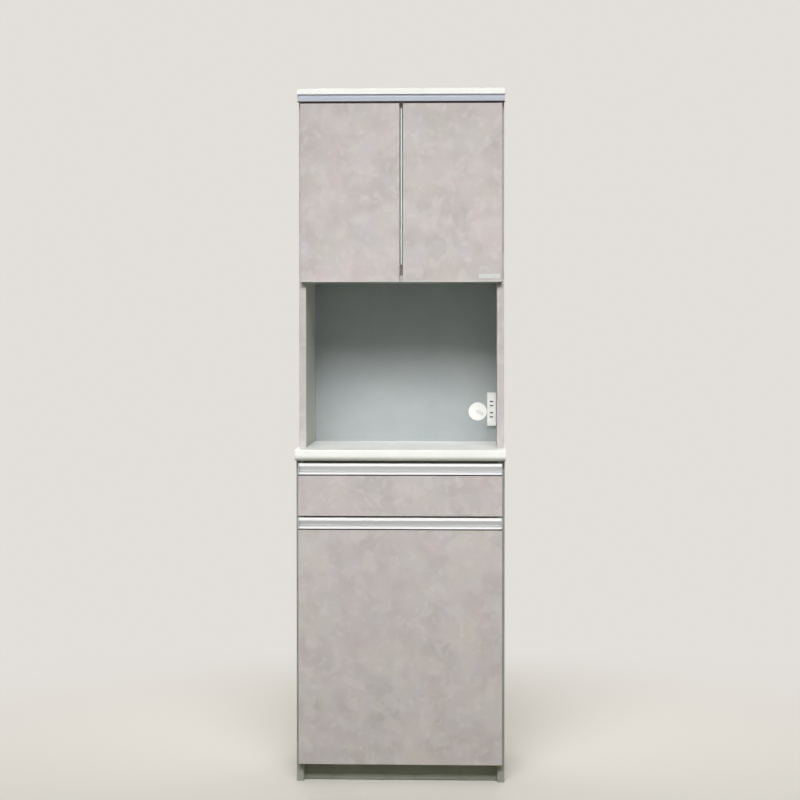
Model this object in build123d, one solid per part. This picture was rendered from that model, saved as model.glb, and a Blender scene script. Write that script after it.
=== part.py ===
from build123d import *
import os
from math import hypot, sqrt

# Tall kitchen cabinet in two units. Millimetres, +Z up, the fronts face -Y,
# origin on the floor below the middle of the counter.

# Boards
side_thickness = 20.0
board_thickness = 18.0
front_thickness = 20.0
back_thickness = 5.0
edge_radius = 1.0
groove_depth = 6.0
groove_clearance = 0.1
fastener_clearance = 0.05

# Counter
counter_width = 600.0
counter_depth = 490.0
counter_thickness = 31.0
counter_nose_radius = 14.0
counter_top_radius = 2.0

# Lower unit, set in from the counter's ends and front
lower_inset = 2.0
lower_height = 923.0
lower_setback = 35.0
lower_back_inset = 20.0
kick_height = 53.0
kick_setback = 22.0
kick_floor_gap = 2.0
rail_depth = 60.0

# Drawer fronts, set in from the outer faces of the lower sides
front_inset = 7.0
front_gap = 2.0
counter_reveal = 8.5
drawer_panel_height = 116.5
front_spacing = 5.5

# Grip rails: aluminium extrusion along the top edge of each drawer front
grip_height = 31.0
grip_wall = 1.6
grip_recess = 17.0
grip_flange = 3.6
grip_ledge = 8.4
grip_lip = 8.0
grip_shadow = 2.0
grip_foot_inset = 7.5
grip_tongue = 2.0
grip_tongue_depth = 8.0
grip_cap = 2.5
grip_spigot = 8.0
grip_spigot_clearance = 0.15
grip_round = 0.7
grip_cove = 2.0

# Drawer boxes and their three-member slides
box_wall = 12.0
box_rear_clearance = 37.0
box_floor = 4.0
box_floor_rise = 8.0
box_floor_groove = 6.0
drawer_foot_gap = 17.0
drawer_head_gap = 33.0
deep_foot_gap = 10.0
deep_box_height = 300.0
deep_slide_rise = 60.0
slide_space = 12.7
slide_height = 45.0
slide_wall = 1.2
slide_gap = 0.3
slide_round = 2.0
slide_setback = 5.0
slide_rear_inset = 3.0

# Upper unit, set in from the counter's ends
upper_inset = 4.0
upper_height = 1017.5
upper_depth = 377.0
upper_back_inset = 32.0
niche_height = 481.0
shelf_clearance = 1.0
shelf_setback = 20.0
fixing_rail_height = 60.0
fixing_rail_thickness = 18.0
fixing_spacing = 320.0
fixing_hole_radius = 2.75

# Crown: top board over an aluminium fascia, which ends flush with it
crown_height = 19.0
crown_groove = 5.5
crown_groove_depth = 4.0
top_board_overhang = 3.0
top_board_nose = 2.0
top_board_thickness = 17.0
fascia_height = 15.0
fascia_depth = 29.0
fascia_wall = 1.5
fascia_cap = 2.0
fascia_spigot = 8.0
fascia_spigot_clearance = 0.15

# Doors
door_thickness = 20.0
door_gap = 3.0
door_reveal = 5.5
door_meeting_gap = 10.0
door_crown_gap = 5.0
door_drop = 1.5
pull_height = 14.0
pull_depth = 10.0
strip_thickness = 1.6
strip_width = 19.0
strip_reach = 7.6
strip_foot = 50.0
strip_head = 13.0
strip_bead_radius = 2.2

# Catch, strikes and bumpers between doors and carcass
catch_width = 44.0
catch_height = 27.0
catch_depth = 16.0
catch_round = 1.0
catch_slot_width = 14.0
catch_slot_height = 3.0
catch_slot_depth = 1.0
strike_size = 16.0
strike_round = 4.0
strike_thickness = 1.2
strike_offset = 12.0
strike_gap = 0.3
bumper_radius = 4.0
bumper_gap = 0.3
bumper_offset = 60.0

# Cup hinges: a pin in the cup carries the eye of a cranked arm
hinge_edge = 7.5
hinge_face = 7.0
hinge_end = 90.0
cup_radius = 17.5
cup_edge = 3.0
cup_depth = 17.0
cup_wall = 1.5
cup_flange = 1.2
cup_wing_width = 16.0
cup_wing_length = 58.0
cup_wing_round = 5.0
pin_radius = 1.0
pin_clearance = 0.05
pin_end_inset = 0.3
eye_wall = 0.75
arm_thickness = 2.0
arm_width = 9.0
arm_drop = 1.3
arm_reach = 15.0
arm_bend_radius = 3.0
leg_length = 70.0
channel_start = 10.0
channel_gap = 0.5
channel_width = 17.0
channel_wall = 1.5
plate_start = 14.0
plate_wing_setback = 37.0
plate_wing_width = 16.0
plate_wing_length = 48.0
plate_wing_round = 5.0
plate_wing_thickness = 2.0
plate_screw_pitch = 32.0

# Fasteners
plate_screw_radius = 1.75
plate_screw_length = 13.0
counter_screw_radius = 2.0
counter_screw_length = 36.0
counter_screw_spacing = 440.0
screw_head_ratio = 2.0
screw_head_height = 2.0
dowel_radius = 5.0
dowel_length = 30.0
dowel_inset = 45.0
shelf_pin_radius = 2.5
shelf_pin_depth = 10.0
shelf_pin_reach = 9.0
shelf_pin_width = 10.0
shelf_pin_round = 3.0
shelf_pin_inset = 45.0
shelf_hole_pitch = 32.0
shelf_hole_count = 3

# Socket outlet
outlet_wall_gap = 0.8
outlet_rise = 98.7
outlet_width = 26.2
outlet_height = 101.5
outlet_depth = 14.0
outlet_wall = 2.0
outlet_fit = 0.15
outlet_round = 1.5
outlet_face_round = 0.7
outlet_box_width = 18.0
outlet_box_height = 86.0
outlet_box_depth = 14.0
outlet_box_fit = 0.3
socket_spacing = 34.2
slot_spacing = 12.7
slot_width = 8.6
slot_height = 2.2
contact_leaf = 0.8
contact_gap = 1.9
contact_length = 11.0
contact_pocket_gap = 0.2
gland_top_radius = 5.0
gland_tip_radius = 3.5
gland_bore_radius = 2.2
gland_length = 16.0

# Cord hole
cord_cap_gap = 0.7
cord_rise = 91.0
cord_cap_radius = 28.0
cord_cap_thickness = 3.0
cord_cap_round = 1.2
cord_hole_radius = 25.0
cord_liner_wall = 2.8
cord_liner_flange = 1.5
cord_liner_flange_radius = 27.0
cord_liner_reach = 6.0
cord_fit = 0.1
cord_skirt_wall = 2.0
cord_skirt_length = 5.0
cord_notch_width = 10.0
cord_notch_angle = -30.0
cord_flap_gap = 0.4
cord_flap_rise = 0.8

# Lines that the boards share
rear_y = counter_depth / 2
lower_front_y = lower_setback - rear_y
lower_back_y = rear_y - lower_back_inset
lower_outer_x = counter_width / 2 - lower_inset
lower_inner_x = lower_outer_x - side_thickness
front_outer_x = lower_outer_x - front_inset
upper_front_y = rear_y - upper_depth
upper_back_y = rear_y - upper_back_inset
upper_outer_x = counter_width / 2 - upper_inset
upper_inner_x = upper_outer_x - side_thickness
crown_outer_x = upper_outer_x + top_board_overhang
front_back_y = lower_front_y - front_gap
front_face_y = front_back_y - front_thickness
door_back_y = upper_front_y - door_gap
door_face_y = door_back_y - door_thickness

floor_panel_top = kick_height + board_thickness
counter_top = lower_height + counter_thickness
rail_bottom = lower_height - board_thickness
drawer_grip_z = lower_height - counter_reveal - grip_height
drawer_panel_top = drawer_grip_z - grip_shadow
drawer_panel_bottom = drawer_panel_top - drawer_panel_height
deep_grip_z = drawer_panel_bottom - front_spacing - grip_height
deep_panel_top = deep_grip_z - grip_shadow

upper_top = counter_top + upper_height
top_panel_top = upper_top - crown_height
top_panel_bottom = top_panel_top - board_thickness
niche_top = counter_top + niche_height
cupboard_floor = niche_top + board_thickness
fascia_top = upper_top - crown_groove
fascia_bottom = fascia_top - fascia_height
door_top = fascia_bottom - door_crown_gap
door_bottom = niche_top - door_drop
door_outer_x = upper_outer_x - door_reveal
door_inner_x = door_meeting_gap / 2

shelf_count = 2
shelf_bay = (top_panel_bottom - cupboard_floor - shelf_count * board_thickness) / (shelf_count + 1)
shelf_levels = [
    cupboard_floor + shelf_bay + index * (shelf_bay + board_thickness) for index in range(shelf_count)
]
shelf_front_y = upper_front_y + shelf_setback
shelf_back_y = upper_back_y - shelf_clearance

# Hinge line of the left door; the right door mirrors it
pivot_x = -(door_outer_x - hinge_edge)
pivot_y = door_face_y + hinge_face
hinge_levels = [door_bottom + hinge_end, door_top - hinge_end]
eye_radius = pin_radius + pin_clearance + eye_wall
cup_centre = cup_edge + cup_radius - hinge_edge
cup_cavity_radius = cup_radius - cup_wall
cup_rim = door_thickness - hinge_face
pin_half_length = sqrt(cup_radius**2 - (cup_centre + pin_radius) ** 2) - pin_end_inset
hinge_front_edge = upper_front_y - pivot_y
hinge_side_face = -upper_inner_x - pivot_x
channel_depth = arm_reach - hinge_side_face - plate_wing_thickness - channel_gap

# Outlet and cord hole stand side by side on the niche's back panel
outlet_x = upper_inner_x - outlet_wall_gap - outlet_width / 2
outlet_z = counter_top + outlet_rise
outlet_face_y = upper_back_y - outlet_depth
socket_levels = [outlet_z + side * socket_spacing / 2 for side in (-1, 1)]
slot_levels = [level + side * slot_spacing / 2 for level in socket_levels for side in (-1, 1)]
cord_x = outlet_x - outlet_width / 2 - cord_cap_gap - cord_cap_radius
cord_z = counter_top + cord_rise
cord_seat_y = upper_back_y - cord_liner_flange


def board(low, high):
    """Rectangular board between two corners."""
    size = [b - a for a, b in zip(low, high)]
    centre = [(a + b) / 2 for a, b in zip(low, high)]
    return Pos(*centre) * Box(*size)


def across(half_width, front_y, back_y, bottom, top):
    """Board that spans the cabinet, centred on its middle."""
    return board((-half_width, front_y, bottom), (half_width, back_y, top))


def block_y(x, z, width, height, start, end):
    """Rectangular block along Y, centred on a point of the cabinet's front view."""
    return board((x - width / 2, start, z - height / 2), (x + width / 2, end, z + height / 2))


def mirrored(shape):
    """The same piece on the other side of the cabinet."""
    return mirror(shape, about=Plane.YZ)


def group(shapes):
    """Separate solids that share one node."""
    return Compound([solid for shape in shapes for solid in shape.solids()])


def rod_y(radius, start, end, x, z):
    """Round bar along Y."""
    return Pos(x, (start + end) / 2, z) * Rot(90, 0, 0) * Cylinder(radius, end - start)


def along_x(section, start, end, y=0, z=0):
    """Section drawn in depth and height, run along X."""
    plane = Plane(origin=(start, y, z), x_dir=(0, 1, 0), z_dir=(1, 0, 0))
    return extrude(plane * section, end - start, dir=(1, 0, 0))


def eased(panel):
    """Panel with its front edges rounded, as edge banding leaves them."""
    return fillet(panel.faces().sort_by(Axis.Y)[0].edges(), edge_radius)


def vertex_near(section, x, y):
    """Corner of a flat section that lies closest to a point."""
    return min(section.vertices(), key=lambda corner: hypot(corner.X - x, corner.Y - y))


def screw(radius, length):
    """Low-head screw along +Z with the underside of its head at the origin."""
    shank = Pos(0, 0, length / 2) * Cylinder(radius, length)
    head = Pos(0, 0, -screw_head_height / 2) * Cylinder(radius * screw_head_ratio, screw_head_height)
    crown = head.edges().filter_by(GeomType.CIRCLE).sort_by(Axis.Z)[0]
    return shank + chamfer(crown, screw_head_height / 2)


def drilled(shape, places, radius, length):
    """Shape with a clearance hole for the fastener at each place."""
    for place in places:
        hole = Cylinder(radius + fastener_clearance, length + fastener_clearance,
                        align=(Align.CENTER, Align.CENTER, Align.MIN))
        shape -= place * hole
    return shape


# Places that fasteners and their holes share
counter_screw_places = [
    Pos(side * counter_screw_spacing / 2, y, rail_bottom)
    for side in (-1, 1)
    for y in (lower_front_y + rail_depth / 2, lower_back_y - rail_depth / 2)
]
dowel_places = [
    Pos((upper_outer_x - side_thickness / 2) * side, y, counter_top - dowel_length / 2)
    for side in (-1, 1)
    for y in (upper_front_y + dowel_inset, rear_y - dowel_inset)
]
plate_screw_places = [
    Pos(-upper_inner_x + plate_wing_thickness, upper_front_y + plate_wing_setback, level + offset)
    * Rot(0, -90, 0)
    for level in hinge_levels
    for offset in (-plate_screw_pitch / 2, plate_screw_pitch / 2)
]
shelf_pin_places = [
    (y, level)
    for level in shelf_levels
    for y in (shelf_front_y + shelf_pin_inset, shelf_back_y - shelf_pin_inset)
]
shelf_hole_steps = [index - shelf_hole_count // 2 for index in range(shelf_hole_count)]


def back_groove(inner_x, back_y, bottom, top):
    """Groove in a right-hand side panel that holds the edge of a back panel."""
    return board(
        (inner_x, back_y - groove_clearance, bottom),
        (inner_x + groove_depth, back_y + back_thickness + groove_clearance, top),
    )


def back_panel(inner_x, back_y, bottom, top):
    """Thin back that slides into the grooves of both sides."""
    half_width = inner_x + groove_depth - groove_clearance
    return across(half_width, back_y, back_y + back_thickness, bottom, top)


def lower_side():
    """Right-hand lower side, standing on the floor."""
    side = board((lower_inner_x, lower_front_y, 0), (lower_outer_x, rear_y, lower_height))
    return eased(side) - back_groove(lower_inner_x, lower_back_y, kick_height, lower_height)


def counter():
    """Thick worktop with a rounded nose, bored for the dowels of the upper unit."""
    top = across(counter_width / 2, -rear_y, rear_y, lower_height, counter_top)
    front_edges = top.faces().sort_by(Axis.Y)[0].edges().filter_by(Axis.X).sort_by(Axis.Z)
    top = fillet(front_edges[0], counter_nose_radius)
    front_edges = top.edges().filter_by(Axis.X).group_by(Axis.Z)[-1].sort_by(Axis.Y)
    top = fillet(front_edges[0], counter_top_radius)
    top = drilled(top, dowel_places, dowel_radius, dowel_length)
    return drilled(top, counter_screw_places, counter_screw_radius, counter_screw_length)


def lower_carcass():
    """Boards and screws of the lower unit."""
    inner = lower_inner_x
    side = lower_side()
    front_rail = across(inner, lower_front_y, lower_front_y + rail_depth, rail_bottom, lower_height)
    back_rail = across(inner, lower_back_y - rail_depth, lower_back_y, rail_bottom, lower_height)
    rails = [
        drilled(rail, counter_screw_places, counter_screw_radius, counter_screw_length)
        for rail in (front_rail, back_rail)
    ]
    kick_y = lower_front_y + kick_setback
    return {
        "counter": counter(),
        "lower_side_left": mirrored(side),
        "lower_side_right": side,
        "lower_bottom_panel": across(inner, lower_front_y, lower_back_y, kick_height, floor_panel_top),
        "kickboard": across(inner, kick_y, kick_y + board_thickness, kick_floor_gap, kick_height),
        "lower_back_panel": back_panel(inner, lower_back_y, kick_height, lower_height),
        "counter_rails": group(rails),
        "mid_rail": across(
            inner,
            lower_front_y,
            lower_front_y + rail_depth,
            drawer_panel_bottom - board_thickness,
            drawer_panel_bottom,
        ),
        "counter_screws": group(
            place * screw(counter_screw_radius, counter_screw_length) for place in counter_screw_places
        ),
    }


def upper_side():
    """Left-hand upper side with its groove, dowel holes, hinge screw holes and rows of shelf holes."""
    side = board((-upper_outer_x, upper_front_y, counter_top), (-upper_inner_x, rear_y, upper_top))
    side = eased(side) - mirrored(back_groove(upper_inner_x, upper_back_y, counter_top, top_panel_top))
    side = drilled(side, dowel_places, dowel_radius, dowel_length)
    side = drilled(side, plate_screw_places, plate_screw_radius, plate_screw_length)
    hole_places = [
        Pos(-upper_inner_x, y, level - shelf_pin_radius + step * shelf_hole_pitch) * Rot(0, -90, 0)
        for y, level in shelf_pin_places
        for step in shelf_hole_steps
    ]
    return drilled(side, hole_places, shelf_pin_radius, shelf_pin_depth)


def shelf_pin():
    """Left-hand shelf pin: round shank in the side panel and a flat tongue under the shelf."""
    shank = Pos(-shelf_pin_depth, 0, -shelf_pin_radius) * Rot(0, 90, 0) * Cylinder(
        shelf_pin_radius, shelf_pin_depth, align=(Align.CENTER, Align.CENTER, Align.MIN)
    )
    tongue = board((0, -shelf_pin_width / 2, -shelf_pin_radius), (shelf_pin_reach, shelf_pin_width / 2, 0))
    corners = tongue.edges().filter_by(Axis.Z).group_by(Axis.X)[-1]
    return shank + fillet(corners, shelf_pin_round)


def shelf(level):
    """Loose shelf on four pins."""
    half_width = upper_inner_x - shelf_clearance
    return eased(across(half_width, shelf_front_y, shelf_back_y, level, level + board_thickness))


def upper_carcass():
    """Boards of the upper unit."""
    inner = upper_inner_x
    side = upper_side()
    back = back_panel(inner, upper_back_y, counter_top, top_panel_top)
    rail_back_y = upper_back_y + back_thickness
    rail_bottom_z = top_panel_bottom - fixing_rail_height
    fixing_rail = across(
        inner, rail_back_y, rail_back_y + fixing_rail_thickness, rail_bottom_z, top_panel_bottom
    )
    for x in (-fixing_spacing / 2, fixing_spacing / 2):
        hole = rod_y(fixing_hole_radius, upper_back_y, rear_y, x, rail_bottom_z + fixing_rail_height / 2)
        fixing_rail -= hole
        back -= hole
    cut_width = outlet_box_width + 2 * outlet_box_fit
    cut_height = outlet_box_height + 2 * outlet_box_fit
    back -= block_y(outlet_x, outlet_z, cut_width, cut_height, upper_back_y, rear_y)
    back -= rod_y(cord_hole_radius, upper_back_y, rear_y, cord_x, cord_z)
    pins = [Pos(-inner, y, level) * shelf_pin() for y, level in shelf_pin_places]
    rail_fronts = (upper_front_y, upper_back_y - rail_depth)
    return {
        "upper_side_left": side,
        "upper_side_right": mirrored(side),
        "upper_top_panel": across(inner, upper_front_y, upper_back_y, top_panel_bottom, top_panel_top),
        "upper_bottom_panel": across(inner, upper_front_y, upper_back_y, niche_top, cupboard_floor),
        "upper_back_panel": back,
        "wall_fixing_rail": fixing_rail,
        "top_board_rails": group(
            across(inner, y, y + rail_depth, top_panel_top, upper_top) for y in rail_fronts
        ),
        "shelf_lower": shelf(shelf_levels[0]),
        "shelf_upper": shelf(shelf_levels[1]),
        "shelf_pins": group(pins + [mirrored(pin) for pin in pins]),
        "unit_dowels": group(
            place * Cylinder(dowel_radius, dowel_length, align=(Align.CENTER, Align.CENTER, Align.MIN))
            for place in dowel_places
        ),
    }


def crown():
    """Top board and the hollow fascia below its front edge, with a rib that backs the groove."""
    half_length = crown_outer_x - fascia_cap
    face_y = upper_front_y - fascia_depth
    top = across(crown_outer_x, face_y - top_board_nose, rear_y, upper_top, upper_top + top_board_thickness)
    outline = Rectangle(fascia_depth, fascia_height, align=(Align.MIN, Align.MIN))
    hollow = Pos(fascia_wall, fascia_wall) * Rectangle(
        fascia_depth - fascia_wall, fascia_height - 2 * fascia_wall, align=(Align.MIN, Align.MIN)
    )
    outline = fillet(outline.vertices().group_by(Axis.X)[0], fascia_wall)
    outline += Pos(crown_groove_depth, fascia_height) * Rectangle(
        fascia_wall, crown_groove, align=(Align.MIN, Align.MIN)
    )
    spigot = offset(hollow, -fascia_spigot_clearance)
    cap = along_x(outline, -crown_outer_x, -half_length, face_y, fascia_bottom)
    cap += along_x(spigot, -half_length, fascia_spigot - half_length, face_y, fascia_bottom)
    return {
        "top_board": eased(top),
        "crown_fascia": along_x(outline - hollow, -half_length, half_length, face_y, fascia_bottom),
        "crown_fascia_caps": group([cap, mirrored(cap)]),
    }


def door_panel():
    """Left door: eased face, a bore for each hinge cup and a bevelled lower edge to pull at."""
    panel = eased(board((-door_outer_x, door_face_y, door_bottom), (-door_inner_x, door_back_y, door_top)))
    bevel = Polygon(
        (door_back_y - pull_depth, door_bottom),
        (door_back_y, door_bottom),
        (door_back_y, door_bottom + pull_height),
        align=None,
    )
    panel -= along_x(bevel, -door_outer_x, -door_inner_x)
    for level in hinge_levels:
        panel -= rod_y(cup_radius, door_back_y - cup_depth, door_back_y, pivot_x + cup_centre, level)
    return panel


def hinge_cup():
    """Pressed cup with its flange, about the hinge pin; X runs along the door and Y to its back."""
    shell = rod_y(cup_radius, cup_rim - cup_depth, cup_rim, cup_centre, 0)
    rim_outline = Circle(cup_radius) + RectangleRounded(cup_wing_width, cup_wing_length, cup_wing_round)
    rim_plane = Plane(origin=(cup_centre, cup_rim, 0), x_dir=(1, 0, 0), z_dir=(0, 1, 0))
    shell += extrude(rim_plane * rim_outline, cup_flange)
    shell -= rod_y(cup_cavity_radius, cup_rim - cup_depth + cup_wall, cup_rim + cup_flange, cup_centre, 0)
    return shell - Cylinder(pin_radius, 2 * pin_half_length)


def hinge_arm():
    """Cranked arm: eye on the pin, plate across the cup, leg into the cabinet, channel on its plate."""
    leg_end = hinge_front_edge + leg_length
    crank = Polygon(
        (0, -arm_drop),
        (arm_reach + arm_thickness, -arm_drop),
        (arm_reach + arm_thickness, leg_end),
        (arm_reach, leg_end),
        (arm_reach, arm_thickness - arm_drop),
        (0, arm_thickness - arm_drop),
        align=None,
    )
    crank = fillet(vertex_near(crank, arm_reach + arm_thickness, -arm_drop), arm_bend_radius)
    crank = fillet(vertex_near(crank, arm_reach, arm_thickness - arm_drop), arm_bend_radius - arm_thickness)
    section = crank + Circle(eye_radius) - Circle(pin_radius + pin_clearance)
    arm = extrude(Pos(0, 0, -arm_width / 2) * section, arm_width)
    channel = Rectangle(channel_depth + arm_thickness, channel_width, align=(Align.MAX, Align.CENTER))
    channel -= Pos(-arm_thickness) * Rectangle(
        channel_depth, channel_width - 2 * channel_wall, align=(Align.MAX, Align.CENTER)
    )
    end = Plane(origin=(arm_reach + arm_thickness, leg_end, 0), x_dir=(1, 0, 0), z_dir=(0, -1, 0))
    return arm + extrude(end * channel, leg_length - channel_start)


def hinge_plate():
    """Mounting plate: a riser inside the arm's channel and two wings screwed to the side panel."""
    riser_height = channel_width - 2 * channel_wall - 2 * groove_clearance
    riser = board(
        (hinge_side_face, hinge_front_edge + plate_start, -riser_height / 2),
        (arm_reach, hinge_front_edge + leg_length, riser_height / 2),
    )
    wing_y = hinge_front_edge + plate_wing_setback
    wing = Plane(origin=(hinge_side_face, wing_y, 0), x_dir=(0, 1, 0), z_dir=(1, 0, 0)) * RectangleRounded(
        plate_wing_width, plate_wing_length, plate_wing_round
    )
    return riser + extrude(wing, plate_wing_thickness)


def hinges():
    """Hinge pieces of both doors."""
    places = [Pos(pivot_x, pivot_y, level) for level in hinge_levels]
    plate_holes = [
        Pos(hinge_side_face, hinge_front_edge + plate_wing_setback, offset) * Rot(0, 90, 0)
        for offset in (-plate_screw_pitch / 2, plate_screw_pitch / 2)
    ]
    plate = drilled(hinge_plate(), plate_holes, plate_screw_radius, plate_wing_thickness)
    pin = Cylinder(pin_radius, 2 * pin_half_length)
    cups = [place * hinge_cup() for place in places]
    pins = [place * pin for place in places]
    arms = [place * hinge_arm() for place in places]
    plates = [place * plate for place in places]
    screws = [place * screw(plate_screw_radius, plate_screw_length) for place in plate_screw_places]
    return {
        "left_hinge_cups": group(cups),
        "left_hinge_pins": group(pins),
        "right_hinge_cups": group(mirrored(cup) for cup in cups),
        "right_hinge_pins": group(mirrored(pin) for pin in pins),
        "hinge_arms": group(arms + [mirrored(arm) for arm in arms]),
        "hinge_plates": group(plates + [mirrored(plate) for plate in plates]),
        "hinge_plate_screws": group(screws + [mirrored(piece) for piece in screws]),
    }


def doors():
    """Doors with what is fixed to them, and the catch and bumpers that they close against."""
    panel = door_panel()
    catch_z = cupboard_floor + catch_height / 2
    strike_end_y = door_back_y + strike_thickness
    strike = block_y(-strike_offset, catch_z, strike_size, strike_size, door_back_y, strike_end_y)
    strike = fillet(strike.edges().filter_by(Axis.Y), strike_round)
    strip_edge = -door_inner_x + strip_reach
    strip_bottom = door_bottom + strip_foot
    strip_top = door_top - strip_head
    strip = board(
        (strip_edge - strip_width, door_back_y, strip_bottom),
        (strip_edge, door_back_y + strip_thickness, strip_top),
    )
    bead = Cylinder(strip_bead_radius, strip_top - strip_bottom)
    strip += Pos(strip_edge - strip_bead_radius, door_back_y, (strip_bottom + strip_top) / 2) * bead
    catch_face_y = strike_end_y + strike_gap
    catch = block_y(0, catch_z, catch_width, catch_height, catch_face_y, catch_face_y + catch_depth)
    catch = fillet(catch.edges().filter_by(Axis.Y).group_by(Axis.Z)[-1], catch_round)
    slot_end_y = catch_face_y + catch_slot_depth
    for x in (-strike_offset, strike_offset):
        catch -= block_y(x, catch_z, catch_slot_width, catch_slot_height, catch_face_y, slot_end_y)
    bumpers = [
        rod_y(bumper_radius, door_back_y + bumper_gap, upper_front_y, side * bumper_offset, z)
        for side in (-1, 1)
        for z in (niche_top + board_thickness / 2, top_panel_bottom + board_thickness / 2 - door_crown_gap)
    ]
    return {
        "left_door_panel": panel,
        "right_door_panel": mirrored(panel),
        "left_strike_plate": strike,
        "right_strike_plate": mirrored(strike),
        "left_door_dust_strip": strip,
        "door_catch": catch,
        "door_bumpers": group(bumpers),
    }


def grip_hollow(wall):
    """Closed cell below the sloped ledge of a grip rail, at a wall's distance from its outline."""
    slope = (grip_ledge - grip_flange) / grip_recess
    drop = wall * hypot(1, slope)
    far = grip_recess + grip_wall - wall
    return Polygon(
        (wall, wall),
        (far, wall),
        (far, grip_flange + slope * far - drop),
        (wall, grip_flange + slope * wall - drop),
        align=None,
    )


def grip_section():
    """Grip rail in section: depth from the front face, height from the rail's base."""
    back = grip_recess + grip_wall
    outline = Polygon(
        (0, 0),
        (front_thickness, 0),
        (front_thickness, grip_wall),
        (back, grip_wall),
        (back, grip_height),
        (0, grip_height),
        (0, grip_height - grip_lip),
        (grip_wall, grip_height - grip_lip),
        (grip_wall, grip_height - grip_wall),
        (grip_recess, grip_height - grip_wall),
        (grip_recess, grip_ledge),
        (0, grip_flange),
        align=None,
    )
    outline = fillet(vertex_near(outline, grip_recess, grip_ledge), grip_cove)
    outline = fillet(vertex_near(outline, grip_recess, grip_height - grip_wall), grip_cove)
    for corner in ((0, grip_flange), (0, grip_height), (0, grip_height - grip_lip)):
        outline = fillet(vertex_near(outline, *corner), grip_round)
    foot_width = front_thickness - 2 * grip_foot_inset
    foot = Pos(front_thickness / 2, -grip_shadow / 2) * Rectangle(foot_width, grip_shadow)
    tongue_height = grip_shadow + grip_tongue_depth
    tongue = Pos(front_thickness / 2, -tongue_height / 2) * Rectangle(grip_tongue, tongue_height)
    return outline - grip_hollow(grip_wall) + foot + tongue


def grip_cap_outline():
    """Silhouette of the grip rail, which its end caps close."""
    back = grip_recess + grip_wall
    outline = Polygon(
        (0, 0),
        (front_thickness, 0),
        (front_thickness, grip_wall),
        (back, grip_wall),
        (back, grip_height),
        (0, grip_height),
        align=None,
    )
    return fillet(vertex_near(outline, 0, grip_height), grip_round)


def front_set(name, panel_bottom, panel_top):
    """Drawer front with its grip rail and the rail's end caps."""
    panel = across(front_outer_x, front_face_y, front_back_y, panel_bottom, panel_top)
    groove_half = grip_tongue / 2 + groove_clearance
    groove_bottom = panel_top - grip_tongue_depth - groove_clearance
    middle_y = (front_face_y + front_back_y) / 2
    groove = across(front_outer_x, middle_y - groove_half, middle_y + groove_half, groove_bottom, panel_top)
    half_length = front_outer_x - grip_cap
    grip_z = panel_top + grip_shadow
    spigot = grip_hollow(grip_wall + grip_spigot_clearance)
    cap = along_x(grip_cap_outline(), -front_outer_x, -half_length, front_face_y, grip_z)
    cap += along_x(spigot, -half_length, grip_spigot - half_length, front_face_y, grip_z)
    return {
        f"{name}_front": eased(panel) - groove,
        f"{name}_handle": along_x(grip_section(), -half_length, half_length, front_face_y, grip_z),
        f"{name}_handle_caps": group([cap, mirrored(cap)]),
    }


def box_set(name, bottom, top):
    """Drawer box: two sides, inner front and back, and a floor held in their grooves."""
    outer = lower_inner_x - slide_space
    inner = outer - box_wall
    back_y = lower_back_y - box_rear_clearance
    floor_z = bottom + box_floor_rise

    def floor_board(reach):
        """Board that enters the four walls by a reach."""
        front_edge = front_back_y + box_wall - reach
        back_edge = back_y - box_wall + reach
        return across(inner + reach, front_edge, back_edge, floor_z, floor_z + box_floor)

    floor = floor_board(box_floor_groove)
    groove = floor_board(box_floor_groove + groove_clearance)
    side = board((inner, front_back_y, bottom), (outer, back_y, top))
    top_edges = side.edges().filter_by(Axis.Y).group_by(Axis.Z)[-1]
    side = fillet(top_edges, edge_radius) - groove
    front = across(inner, front_back_y, front_back_y + box_wall, bottom, top) - groove
    back = across(inner, back_y - box_wall, back_y, bottom, top) - groove
    return {
        f"{name}_box_walls": group([mirrored(side), side, front, back]),
        f"{name}_bottom": floor,
    }


def channel_section(height, flange):
    """Folded C channel in section: web on the local Y axis, flanges along +X."""
    outer = Rectangle(flange, height, align=(Align.MIN, Align.CENTER))
    outer = fillet(outer.vertices().group_by(Axis.X)[0], slide_round)
    inner = Rectangle(flange - slide_wall, height - 2 * slide_wall, align=(Align.MIN, Align.CENTER))
    inner = fillet(inner.vertices().group_by(Axis.X)[0], slide_round - slide_wall)
    return outer - Pos(slide_wall) * inner


def slide_set(name, level):
    """Pair of slides: outer member on the side panel, middle member, inner member on the drawer box."""
    step = slide_wall + slide_gap
    flange = slide_space - 3 * step
    start_y = lower_front_y + slide_setback
    end_y = lower_back_y - box_rear_clearance - slide_rear_inset
    members = {
        "outers": (0, 1, slide_height),
        "middles": (step, 1, slide_height - 2 * step),
        "inners": (slide_space, -1, slide_height - 4 * step),
    }
    nodes = {}
    for member, (offset_in, facing, height) in members.items():
        plane = Plane(
            origin=(lower_inner_x - offset_in, end_y, level), x_dir=(-facing, 0, 0), z_dir=(0, -1, 0)
        )
        rail = extrude(plane * channel_section(height, flange), end_y - start_y)
        nodes[f"{name}_slide_{member}"] = group([mirrored(rail), rail])
    return nodes


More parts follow.
